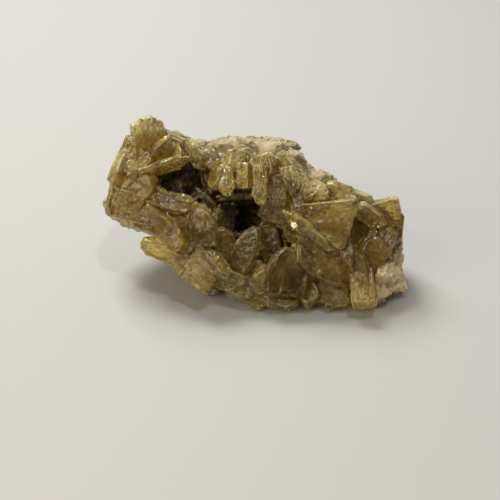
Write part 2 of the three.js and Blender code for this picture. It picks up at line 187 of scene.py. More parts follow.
# The host rock's sections: across, top, bottom, front, back
SECTIONS = np.array(
    [
        [-49, 10, 0.5, -4, -12],
        [-45, 20, -2.5, -1, -18],
        [-39, 27, -5, 0, -22],
        [-32, 29.5, -8, 0, -24],
        [-24, 28, -18, -1, -27],
        [-16, 26, -24.5, -2, -29],
        [-8, 28.5, -26, -2, -30],
        [0, 28, -28, -2, -31],
        [8, 27, -30, -2, -31],
        [14, 24.5, -30.5, -1, -30],
        [20, 17, -30.5, -1, -28],
        [27, 12, -30.5, 0, -26],
        [34, 6.5, -30.5, 0, -24],
        [41, 5, -29.5, -1, -21],
        [46, 2, -27, -3, -17],
        [49, -6, -22, -6, -13],
    ]
)

# The part of the face that crystals cover
COVERED = np.array(
    [
        [-47.5, -6], [-47.5, 8], [-46, 16], [-42, 26], [-37, 33], [-29.5, 28.5], [-23, 25],
        [-16.5, 22], [-12, 20], [-5, 19.5], [2, 19], [9.6, 18], [14.5, 14], [20.4, 11],
        [26, 8.5], [31.5, 6.5], [36.7, 7], [41, 9], [53, 8], [53, -12], [46, -13.5],
        [40, -15.5], [38.6, -20], [38.6, -36], [3, -36], [-4, -25.5], [-14, -23.5],
        [-23, -22.5], [-30, -18], [-40, -9],
    ]
)  # fmt: skip

random = np.random.default_rng(41)


def to_part(points):
    """Points on the face, in mm, to metres in the specimen's frame."""
    return (np.asarray(points, float) @ FACE_AXES + FACE_MIDDLE) * MM


def to_face(points):
    return (np.asarray(points, float) / MM - FACE_MIDDLE) @ FACE_AXES.T


def turned(turn, lean, roll):
    """Rotation whose columns are a crystal's length, width and thickness, on the face."""
    t, l, r = (math.radians(a) for a in (turn, -lean, roll))
    about_z = np.array([[math.cos(t), -math.sin(t), 0], [math.sin(t), math.cos(t), 0], [0, 0, 1]])
    about_y = np.array([[math.cos(l), 0, math.sin(l)], [0, 1, 0], [-math.sin(l), 0, math.cos(l)]])
    about_x = np.array([[1, 0, 0], [0, math.cos(r), -math.sin(r)], [0, math.sin(r), math.cos(r)]])
    return about_z @ about_y @ about_x


# Crystal forms: [along, across, up] as shares of the half sizes, for one side

FORMS = {
    "tablet": [
        (-1, 0.75, 0), (-0.7, 1, 0), (0.5, 1, 0), (1, 0.35, 0),
        (-0.86, 0.68, 1), (-0.6, 0.88, 1), (0.46, 0.88, 1), (0.88, 0.3, 1),
    ],
    "kite": [(-1, 0.5, 0.8), (-0.5, 1, 1), (0.1, 0.9, 1), (1, 0.08, 0.5)],
    "arch": [(-1, 0.85, 1), (0.1, 1, 1), (0.65, 0.72, 0.9), (1, 0.22, 0.5)],
    "wedge": [(-1, 0.06, 0.7), (0.88, 1, 1), (1, 0.85, 0.6)],
    "stub": [(-1, 0.9, 1), (0.5, 1, 1), (0.86, 0.92, 0.9), (1, 0.75, 0.6)],
    "prism": [(-1, 0.9, 1), (0.66, 1, 1), (1, 0.55, 0.35)],
    "block": [(-1, 0.86, 0.9), (0.84, 1, 1), (1, 0.8, 0.6)],
    "grain": [(-1, 0.9, 0.9), (0.45, 1, 1), (1, 0.25, 0.3)],
}  # fmt: skip


def form_points(kind):
    points = []
    for along, across, up in FORMS[kind]:
        for side in (-1, 1):
            for level in (-up, up) if up else (0,):
                points.append((along, side * across, level))
    return np.array(points, float)


def hull(points, bevel):
    """Corners and faces of the points' convex hull, with its edges cut back a little."""
    bm = bmesh.new()
    for p in points:
        bm.verts.new(p)
    made = bmesh.ops.convex_hull(bm, input=bm.verts)
    loose = {e for e in made["geom_interior"] + made["geom_unused"] if isinstance(e, bmesh.types.BMVert)}
    bmesh.ops.delete(bm, geom=list(loose), context="VERTS")
    bmesh.ops.dissolve_limit(bm, angle_limit=0.03, verts=bm.verts, edges=bm.edges)
    if bevel:
        bmesh.ops.bevel(
            bm, geom=bm.edges[:], offset=bevel, segments=1, profile=0.5, affect="EDGES", clamp_overlap=True
        )
    bmesh.ops.recalc_face_normals(bm, faces=bm.faces)
    bm.verts.index_update()
    corners = np.array([v.co for v in bm.verts])
    faces = [[v.index for v in f.verts] for f in bm.faces]
    bm.free()
    return corners, faces


def above_floor(points):
    """The points of a convex shape, in metres, cut by the resting plane."""
    height = points[:, 2] - FLOOR_CLEAR * MM
    if (height >= 0).all():
        return points
    if (height <= 0).all():
        return None
    top, low = points[height > 0], points[height <= 0]
    high, under = height[height > 0], height[height <= 0]
    share = high[:, None] / (high[:, None] - under[None, :])
    crossing = top[:, None] + (low[None] - top[:, None]) * share[..., None]
    return np.vstack([top, crossing.reshape(-1, 3)])


def write_attributes(mesh, local, values):
    """Each corner's place in its crystal, and its other values, for the materials."""
    place = mesh.attributes.new("local", "FLOAT_VECTOR", "POINT")
    place.data.foreach_set("vector", local.astype(np.float32).ravel())
    for key, value in values.items():
        mesh.attributes.new(key, "FLOAT", "POINT").data.foreach_set("value", value.astype(np.float32))


class Batch:
    """Closed shapes joined in one mesh, with each corner's place in its crystal and its tone.

    A plate's pose is its centre, its rotation and its least side in mm."""

    def __init__(self):
        self.corners, self.faces, self.local, self.tone, self.smoke, self.count = [], [], [], [], [], 0
        self.plates, self.plate_of_face, self.crystals = [], [], 0

    def add(self, corners, faces, local, tone, smoke, pose=None):
        self.plate_of_face += [len(self.plates)] * len(faces)
        self.plates.append((pose, tone, smoke, self.crystals))
        self.corners.append(corners)
        self.faces += [[i + self.count for i in f] for f in faces]
        self.local.append(local)
        self.tone.append(np.full(len(corners), tone))
        self.smoke.append(np.full(len(corners), smoke))
        self.count += len(corners)

    def mesh(self, name):
        mesh = bpy.data.meshes.new(name)
        mesh.from_pydata(np.vstack(self.corners), [], self.faces)
        pale = paleness(np.vstack(self.corners))
        values = {"tone": np.concatenate(self.tone), "smoke": np.concatenate(self.smoke), "pale": pale}
        write_attributes(mesh, np.vstack(self.local), values)
        return mesh


def add_plate(batch, kind, centre, size, rotation, tone, smoke, bevel=0.05, rough=0.04):
    """One closed crystal plate: size is its length, width and thickness in mm."""
    half = np.array(size) / 2
    points = form_points(kind) * (1 + random.uniform(-rough, 0, (len(form_points(kind)), 3))) * half
    cut = above_floor(to_part(points @ rotation.T + centre))
    if cut is None or len(cut) < 6:
        return
    corners, faces = hull(cut, bevel * MM)
    local = (to_face(corners) - centre) @ rotation
    batch.add(corners, faces, local, tone, smoke, (centre, rotation, min(size)))


def add_crystal(batch, row):
    """A large crystal: plates or prisms grown side by side, with stepped tips and small side growths."""
    batch.crystals += 1
    kind, across, up, out, length, width, thick, turn, lean, roll, smoke = row
    rotation = turned(turn, lean, roll)
    centre = np.array([across, up, out], float)
    base_tone = random.uniform(0, 1) if smoke else 1
    tablet = kind not in STOUT
    plain = kind in WHOLE
    shortest = 0.95 if plain or kind == "stub" else 0.84
    layers = max(2, round(thick / (1.5 if tablet else 2.6)))
    columns = 1 if plain else max(1, round(width / (5.5 if tablet else 3.2)))
    for i in range(layers):
        for j in range(columns):
            middle = 1 - abs((i + 0.5) / layers * 2 - 1) * (0.1 if tablet else 0.04)
            side = (j + 0.5) / columns * 2 - 1
            taper = 1 - TAPERS.get(kind, OTHER_TAPER) * abs(side)
            long = length * middle * taper * random.uniform(shortest, 1)
            wide = width / columns * random.uniform(1.15, 1.5) * middle if columns > 1 else width * middle
            deep = thick / layers * random.uniform(1.1, 1.7)
            spot = np.array(
                [
                    (length * middle * taper - long) / 2 * random.uniform(-0.3, 1),
                    side * max(0, width * middle - wide) / 2,
                    ((i + 0.5) / layers * 2 - 1) * max(0, thick - deep) / 2,
                ]
            )
            spin = turned(random.uniform(-2, 2), random.uniform(-2, 2), random.uniform(-3, 3))
            add_plate(
                batch, kind, centre + rotation @ spot, (long, wide, deep), rotation @ spin,
                base_tone + random.uniform(-0.35, 0.35), smoke,
            )  # fmt: skip
    for _ in range(0 if plain else round(length * width / GROWTH_AREA)):
        ring = random.uniform(0, 2 * math.pi)
        level = random.uniform(-0.1, 0.42)
        spot = np.array([math.cos(ring) * length * 0.36, math.sin(ring) * width * 0.4, thick * level])
        place = centre + rotation @ spot
        if place[0] > GROWTHS_END or not inside_outline(place[None, :2], COVERED * 0.96)[0]:
            continue
        size = np.array([length * 0.3, min(width, 9) * 0.28, thick * 0.35]) * random.uniform(0.5, 1.3, 3)
        spin = turned(random.uniform(-14, 14), random.uniform(-10, 10), random.uniform(-20, 20))
        add_plate(
            batch, kind, place, size, rotation @ spin, base_tone + random.uniform(-0.3, 0.3), smoke
        )


def finish_mesh(name, mesh, material, node, slot):
    """The mesh as a piece of that name, in place of a node."""
    piece = bpy.data.objects.new(name, mesh)
    bpy.context.scene.collection.objects.link(piece)
    mesh.materials.clear()
    mesh.materials.append(material)
    mesh.validate()
    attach(piece, "root")
    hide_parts(node)


def applied(mesh, *steps):
    """A mesh after modifiers, each given as (type, settings)."""
    work = bpy.data.objects.new("work", mesh)
    bpy.context.scene.collection.objects.link(work)
    for kind, settings in steps:
        modifier = work.modifiers.new(kind, kind)
        for key, value in settings.items():
            setattr(modifier, key, value)
    graph = bpy.context.evaluated_depsgraph_get()
    result = bpy.data.meshes.new_from_object(work.evaluated_get(graph))
    bpy.data.objects.remove(work)
    return result


def corners_of(mesh):
    co = np.zeros(len(mesh.vertices) * 3, np.float32)
    mesh.vertices.foreach_get("co", co)
    return co.reshape(-1, 3).astype(float)


def normals_of(mesh):
    no = np.zeros(len(mesh.vertices) * 3, np.float32)
    mesh.vertices.foreach_get("normal", no)
    return no.reshape(-1, 3).astype(float)


def move_corners(mesh, co):
    mesh.vertices.foreach_set("co", co.astype(np.float32).ravel())
    mesh.update()


def noise_at(points, size, seed=0, octaves=2):
    """Smooth noise of about -1 to 1 at points in metres; size is the lumps' size in mm."""
    shift = Vector((seed * 7.3, seed * 3.1, seed * 5.7))
    scale = 1 / (size * MM)
    basis = {"noise_basis": "PERLIN_ORIGINAL"}
    return np.array([noise.fractal(Vector(p) * scale + shift, 1.0, 2.0, octaves, **basis) for p in points])


def cells_at(points, size, seed=0):
    """Distance to the nearest cell point, and the edge value, of cells of that size in mm."""
    shift = Vector((seed * 7.3, seed * 3.1, seed * 5.7))
    scale = 1 / (size * MM)
    near = np.array([noise.voronoi(Vector(p) * scale + shift)[0][:2] for p in points])
    return near[:, 0], near[:, 1] - near[:, 0]


# Crystals grown together: one skin over many plates, carved along each plate's own direction


def facets_at(points):
    """Each point's level on a tilted plane through its cell, from about -1 to 1, and the cell's tone."""
    spots = np.array([noise.voronoi(Vector(p))[1][0] for p in points])
    turn = np.sin(spots @ np.array([[12.9, 78.2, 37.7], [39.3, 11.1, 83.2], [73.1, 52.2, 9.1]])) * 43.7
    turn -= np.floor(turn)
    return ((points - spots) * (turn * 2 - 1)).sum(1) * 1.6 + turn[:, 0] - 0.5, turn[:, 1]


def edge_ends(mesh):
    ends = np.zeros(len(mesh.edges) * 2, np.int32)
    mesh.edges.foreach_get("vertices", ends)
    return ends.reshape(-1, 2).T


def main_bodies(mesh, least):
    """The mesh without its separate bodies of fewer corners than that."""
    a, b = edge_ends(mesh)
    body, before = np.arange(len(mesh.vertices)), None
    while before is None or (body != before).any():
        before = body.copy()
        low = np.minimum(body[a], body[b])
        np.minimum.at(body, a, low)
        np.minimum.at(body, b, low)
        body = body[body]
    loose = np.flatnonzero(np.bincount(body, minlength=len(body))[body] < least)
    if len(loose):
        bm = bmesh.new()
        bm.from_mesh(mesh)
        bm.verts.ensure_lookup_table()
        bmesh.ops.delete(bm, geom=[bm.verts[i] for i in loose], context="VERTS")
        bm.to_mesh(mesh)
        bm.free()
    return mesh


def relief_of(mesh, rounds):
    """How far each corner stands out from its surroundings, in mm: edges above 0 and crevices below."""
    co, no = corners_of(mesh), normals_of(mesh)
    a, b = edge_ends(mesh)
    count = np.maximum(np.bincount(a, minlength=len(co)) + np.bincount(b, minlength=len(co)), 1)
    smooth = co.copy()
    for _ in range(rounds):
        total = [
            np.bincount(a, smooth[b, k], minlength=len(co)) + np.bincount(b, smooth[a, k], minlength=len(co))
            for k in range(3)
        ]
        smooth = smooth * 0.3 + 0.7 * np.column_stack(total) / count[:, None]
    return ((co - smooth) * no).sum(1) / MM


def spread_from(marked, a, b, count):
    """1 at the corners of the marked edges, and less at the two rings of corners round them."""
    value = np.zeros(count)
    value[a[marked]] = value[b[marked]] = 1
    for _ in range(2):
        wider = value.copy()
        np.maximum.at(wider, a, value[b] * 0.6)
        np.maximum.at(wider, b, value[a] * 0.6)
        value = wider
    return value


def grown_together(batch, voxel, depth):
    """One closed skin over a batch's plates. depth is the scale of its striations, steps and chips, in mm."""
    rough = batch.mesh("plates")
    tree = BVHTree.FromPolygons([Vector(p) for p in corners_of(rough)], batch.faces)
    remesh = {"mode": "VOXEL", "voxel_size": voxel * MM, "use_smooth_shade": True}
    mesh = main_bodies(applied(rough, ("REMESH", remesh)), LEAST_BODY)
    co, no = corners_of(mesh), normals_of(mesh)
    found = [tree.find_nearest(Vector(p)) for p in co]
    flat = np.array([f[1] for f in found])
    face = np.array([f[2] for f in found])
    facing = (flat * no).sum(1) > 0.5
    co = np.where(facing[:, None], np.array([f[0] for f in found]), co)
    plate = np.array(batch.plate_of_face)[face]
    centres, turns, thin = (np.array(part)[plate] for part in zip(*(row[0] for row in batch.plates)))
    tone, smoke, crystal = (np.array(part)[plate] for part in list(zip(*batch.plates))[1:])
    local = np.einsum("ij,ijk->ik", to_face(co) - centres, turns)
    side = np.einsum("ij,ijk->ik", flat @ FACE_AXES.T, turns)
    longest = np.abs(side).argmax(1)
    group = longest * 2 + (side[np.arange(len(side)), longest] > 0)
    # facet darkness: each way a crystal's facets face, and each step and chip cell, gets a random share; this
    # is painted shade standing in for facets that catch the light differently, as well as random tone
    facet_shade = np.random.default_rng(7).random((crystal.max() + 1, 6))[crystal, group]
    facet_shade = 0.7 * facet_shade + 0.3 * np.random.default_rng(8).random(len(batch.faces))[face]
    lines = np.array(
        [noise.fractal(Vector((x * 0.1, y * 1.1, z * 1.1)), 1.0, 2.1, 3) for x, y, z in local]
    )
    steps, step_tone = facets_at(local * np.array([0.17, 0.34, 0.34]) + crystal[:, None] * 5.3)
    chips, chip_tone = facets_at(local * np.array([0.45, 0.95, 0.95]) + 31)
    facet_shade = 0.35 * facet_shade + 0.35 * step_tone + 0.3 * chip_tone
    relief = 0.1 * lines + 1.1 * steps + 0.55 * chips - 0.35
    relief = np.clip(relief, -1.5, 0.6) * depth * np.clip(co[:, 2] / MM / 1.2, 0, 1)
    a, b = edge_ends(mesh)
    border = crystal[a] != crystal[b]
    corner = ((flat[a] * flat[b]).sum(1) < 0.85) & ~border & facing[a] & facing[b]
    gap, rim = spread_from(border, a, b, len(co)), spread_from(corner, a, b, len(co))
    relief *= (1 - 0.7 * rim) * np.clip(thin / 2.5, 0.3, 1.2)
    co = co + no * (relief - 0.16 * gap)[:, None] * MM
    co[:, 2] = np.maximum(co[:, 2], FLOOR_CLEAR * MM)
    move_corners(mesh, co)
    near = relief_of(mesh, 7)
    values = {"tone": tone, "smoke": smoke, "pale": paleness(co), "facet_shade": facet_shade}
    # edge: how far each corner stands out, lowered along the borders between crystals and raised on the rims
    # by a random share; it is painted as highlight where high and as shade where low. deep: how deep each
    # corner lies, painted as shade
    rim_highlight_share = facets_at(co / MM / 2.5 + 3)[1]
    values["edge"] = np.minimum(near, 0.14) - 0.08 * gap + (0.02 + 0.17 * rim_highlight_share) * (rim == 1) * (near > 0.02)
    values["deep"] = -relief_of(mesh, 100)
    for key in [a.name for a in mesh.attributes if a.name in ("local", *values)]:
        mesh.attributes.remove(mesh.attributes[key])
    write_attributes(mesh, local, values)
    return mesh


def paleness(co):
    """How close each point is to the crystals' upper and left edge, where they are cloudy, from 0 to 1."""
    spots = to_face(co)[:, :2]
    edge = COVERED[1:21]
    nearest = np.full(len(spots), 1e9)
    for a, b in zip(edge[:-1], edge[1:]):
        along = np.clip(((spots - a) @ (b - a)) / ((b - a) @ (b - a)), 0, 1)
        nearest = np.minimum(nearest, np.linalg.norm(spots - a - along[:, None] * (b - a), axis=1))
    return np.clip(1.15 - nearest / 5.5, 0, 1)


# The host rock: the solid's own shape, with a granular broken surface


def make_rock():
    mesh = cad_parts["host_rock"].data.copy()
    mesh = applied(mesh, ("REMESH", {"mode": "VOXEL", "voxel_size": ROCK_VOXEL * MM}))
    co, no = corners_of(mesh), normals_of(mesh)
    height = co[:, 2] / MM
    grain, _ = cells_at(co, 1.7, 3)
    ridges = 1 - 2 * np.abs(noise_at(co, 4.5, 8, 3))
    coarse = np.clip(0.65 + 1.1 * noise_at(co, 13, 6, 2), 0.2, 1)
    coarse = np.maximum(coarse, np.clip((co[:, 0] / MM - 34) / 4, 0, 1))
    relief = 0.75 * facets_at(co / MM / 10)[0] + 0.5 * noise_at(co, 6, 1, 3) - 0.2
    relief += coarse * (0.7 * ridges + 0.8 * noise_at(co, 2, 2, 3) - 0.9 * grain + 0.1)
    relief = np.clip(relief, -1.8, 0.7) * np.clip(height / 1.2, 0, 1)
    spots = to_face(co)
    beside = inside_outline(spots[:, :2], COVERED * 1.04) & (spots[:, 2] > -9)
    relief = np.where(beside, np.clip(relief, -0.3, 0.3), relief)
    co = np.clip(co + no * relief[:, None] * MM, FIRST_BOX[0], FIRST_BOX[1])
    co[:, 2] = np.maximum(co[:, 2], 0)
    move_corners(mesh, co)
    return mesh


# The crust between the large crystals: a surface of tilted facets over the covered part of the face


def inside_outline(points, outline):
    x, y = points[:, 0], points[:, 1]
    inside = np.zeros(len(points), bool)
    for (x1, y1), (x2, y2) in zip(outline, np.roll(outline, -1, axis=0)):
        crosses = (y1 > y) != (y2 > y)
        with np.errstate(divide="ignore", invalid="ignore"):
            inside ^= crosses & (x < (x2 - x1) * (y - y1) / (y2 - y1) + x1)
    return inside


def inside_hollow(points, spare=0.0, rows=HOLLOWS):
    found = np.zeros(len(points), bool)
    for centre, radii, turn in rows:
        t = math.radians(turn)
        d = points[:, :2] - np.array(centre[:2])
        across = d[:, 0] * math.cos(t) + d[:, 1] * math.sin(t)
        up = -d[:, 0] * math.sin(t) + d[:, 1] * math.cos(t)
        found |= (across / (radii[0] + spare)) ** 2 + (up / (radii[1] + spare)) ** 2 < 1
    return found


def front_height(points, grow):
    """How far out the rock's front is at [across, up], grown by that many mm, or nan beside it."""
    column = [np.interp(points[:, 0], SECTIONS[:, 0], SECTIONS[:, k]) for k in range(1, 5)]
    top, bottom, front, back = column[0] + grow, column[1] - grow, column[2] + grow, column[3] - grow
    t = np.abs((points[:, 1] - (top + bottom) / 2) / ((top - bottom) / 2))
    with np.errstate(invalid="ignore"):
        return (front + back) / 2 + (front - back) / 2 * (1 - t**2.78) ** (1 / 2.78)


def make_crust():
    step = 0.8
    us, vs = np.arange(-51, 52, step), np.arange(-34, 34, step)
    grid = np.array([[(u, v) for v in vs] for u in us]).reshape(-1, 2)
    height = front_height(grid, 1.4)
    floor_height = -7.5
    used = inside_outline(grid, COVERED) & ~inside_hollow(grid, 0.2, HOLLOWS[:4])
    used &= np.nan_to_num(height, nan=-99) > floor_height + 4.2
    dip = inside_hollow(grid, 0.3, HOLLOWS[4:])
    height = np.where(dip, -4.7, height)
    used = used.reshape(len(us), len(vs))
    height = np.nan_to_num(height, nan=floor_height).reshape(len(us), len(vs))
    verts, faces, index = [], [], {}

    def corner(i, j, level):
        key = (i, j, level)
        if key not in index:
            index[key] = len(verts)
            around = [(a, b) for a in (i - 1, i) for b in (j - 1, j) if used[a, b]]
            tall = np.mean([height[a, b] for a, b in around])
            verts.append((us[i] - step / 2, vs[j] - step / 2, tall if level else floor_height))
        return index[key]

    for i in range(1, len(us) - 1):
        for j in range(1, len(vs) - 1):
            if not used[i, j]:
                continue
            ring = [(i, j), (i + 1, j), (i + 1, j + 1), (i, j + 1)]
            faces.append([corner(a, b, 1) for a, b in ring])
            faces.append([corner(a, b, 0) for a, b in reversed(ring)])
            beside = [(i, j - 1), (i + 1, j), (i, j + 1), (i - 1, j)]
            for (a, b), (first, second) in zip(beside, zip(ring, ring[1:] + ring[:1])):
                if not used[a, b]:
                    faces.append(
                        [corner(*first, 0), corner(*second, 0), corner(*second, 1), corner(*first, 1)]
                    )
    mesh = bpy.data.meshes.new("crust")
    mesh.from_pydata(to_part(verts), [], faces)
    mesh = applied(mesh, ("REMESH", {"mode": "VOXEL", "voxel_size": CRUST_VOXEL * MM}))
    co, no = corners_of(mesh), normals_of(mesh)
    relief = 0.75 * facets_at(co / MM / 2.8 + 7)[0] + 0.3 * facets_at(co / MM / 1.4)[0] - 0.1
    co = co + no * np.clip(relief, -1.1, 0.7)[:, None] * MM
    co[:, 2] = np.maximum(co[:, 2], FLOOR_CLEAR * MM)
    move_corners(mesh, co)
    return mesh


def make_lining():
    """The solid's crust in the hollows, with rounded pits."""
    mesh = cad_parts["hollow_crystals"].data.copy()
    mesh = applied(mesh, ("REMESH", {"mode": "VOXEL", "voxel_size": LINING_VOXEL * MM}))
    mesh = main_bodies(mesh, LEAST_BODY)
    co, no = corners_of(mesh), normals_of(mesh)
    near, _ = cells_at(co, 2.0, 6)
    move_corners(mesh, co - no * np.clip(near * 0.9, 0, 0.8)[:, None] * MM)
    return mesh


# Small crystals on a surface, thickest in its crevices


def scatter(batch, mesh, count, size, keep, smoke, open_share=0.25, sink=0.25, tree=None):
    """Seeded small crystals on a mesh. keep says which points, on the face, may carry one."""
    mesh.calc_loop_triangles()
    co = corners_of(mesh)
    tris = np.array([t.vertices for t in mesh.loop_triangles])
    a, b, c = co[tris[:, 0]], co[tris[:, 1]], co[tris[:, 2]]
    normal = np.cross(b - a, c - a)
    area = np.linalg.norm(normal, axis=1)
    normal = normal / np.maximum(area[:, None], 1e-18)
    chosen = random.choice(len(tris), count * 3, p=area / area.sum())
    r1, r2 = np.sqrt(random.random(len(chosen))), random.random(len(chosen))
    shares = np.stack([1 - r1, r1 * (1 - r2), r1 * r2])[..., None]
    spots = a[chosen] * shares[0] + b[chosen] * shares[1] + c[chosen] * shares[2]
    normals = normal[chosen]
    wanted = keep(to_face(spots), normals @ FACE_AXES.T)
    spots, normals = spots[wanted], normals[wanted]
    form = form_points("grain")
    corners, faces = hull(form, 0)
    order = [int(np.argmin(np.linalg.norm(form - p, axis=1))) for p in corners]
    local_form = form[order]
    placed = 0
    for spot, n in zip(spots, normals):
        if placed >= count:
            break
        n_face = FACE_AXES @ n
        if tree is not None:
            hits = 0
            for _ in range(4):
                way = n + random.normal(0, 0.6, 3)
                hit = tree.ray_cast(Vector(spot + n * 0.15 * MM), Vector(way).normalized(), 4 * MM)
                hits += hit[0] is not None
            if hits < 1 and random.random() > open_share:
                continue
        long = min(size * math.exp(random.normal(0, 0.35)), size * 2)
        wide = long * random.uniform(0.35, 0.7)
        thick = wide * random.uniform(0.4, 0.9)
        axis = n_face + random.normal(0, 0.45, 3)
        axis /= np.linalg.norm(axis)
        side = np.cross(axis, random.normal(0, 1, 3))
        side /= np.linalg.norm(side)
        rotation = np.column_stack([axis, side, np.cross(axis, side)])
        local = local_form * np.array([long, wide, thick]) / 2
        points = to_part(to_face(spot) + n_face * long * (0.5 - sink - 0.25) + local @ rotation.T)
        if points[:, 2].min() < FLOOR_CLEAR * MM:
            continue
        batch.add(points, faces, local, random.uniform(0, 1), smoke)
        placed += 1


# Materials


class Nodes:
    """A material's node tree, with short ways to add nodes and link them."""

    def __init__(self, name):
        self.material = bpy.data.materials.new(name)
        self.material.use_nodes = True
        self.tree = self.material.node_tree
        self.shader = self.tree.nodes["Principled BSDF"]
        self.output = self.tree.nodes["Material Output"]

    def add(self, kind, inputs=None, **settings):
        node = self.tree.nodes.new(kind)
        for key, value in settings.items():
            setattr(node, key, value)
        for key, value in (inputs or {}).items():
            self.join(value, node.inputs[key])
        return node

    def join(self, value, socket):
        if isinstance(value, bpy.types.NodeSocket):
            self.tree.links.new(value, socket)
        else:
            socket.default_value = value

    def math(self, operation, a, b=0.0, clamp=False):
        node = self.add("ShaderNodeMath", {0: a, 1: b}, operation=operation, use_clamp=clamp)
        return node.outputs[0]

    def mix(self, share, a, b, blend="MIX"):
        node = self.add("ShaderNodeMix", data_type="RGBA", blend_type=blend)
        self.join(share, node.inputs[0])
        self.join(a, node.inputs[6])
        self.join(b, node.inputs[7])
        return node.outputs[2]

    def ramp(self, value, low, high):
        node = self.add("ShaderNodeMapRange", {0: value, 1: low, 2: high}, interpolation_type="SMOOTHSTEP")
        return node.outputs[0]

    def voronoi(self, vector, scale, output, feature="F1"):
        node = self.add("ShaderNodeTexVoronoi", {"Vector": vector, "Scale": scale}, feature=feature)
        return node.outputs[output]

    def part(self, colour, channel):
        return self.add("ShaderNodeSeparateColor", {"Color": colour}).outputs[channel]

    def vectors(self, operation, inputs, output=0):
        return self.add("ShaderNodeVectorMath", inputs, operation=operation).outputs[output]

    def noise(self, vector, scale, detail=3.0, rough=0.55, distort=0.0):
        node = self.add(
            "ShaderNodeTexNoise",
            {"Vector": vector, "Scale": scale, "Detail": detail, "Roughness": rough, "Distortion": distort},
        )
        return node.outputs["Fac"]

    def attribute(self, name, output="Fac"):
        return self.add("ShaderNodeAttribute", attribute_name=name).outputs[output]

    def place(self):
        return self.add("ShaderNodeTexCoord").outputs["Object"]


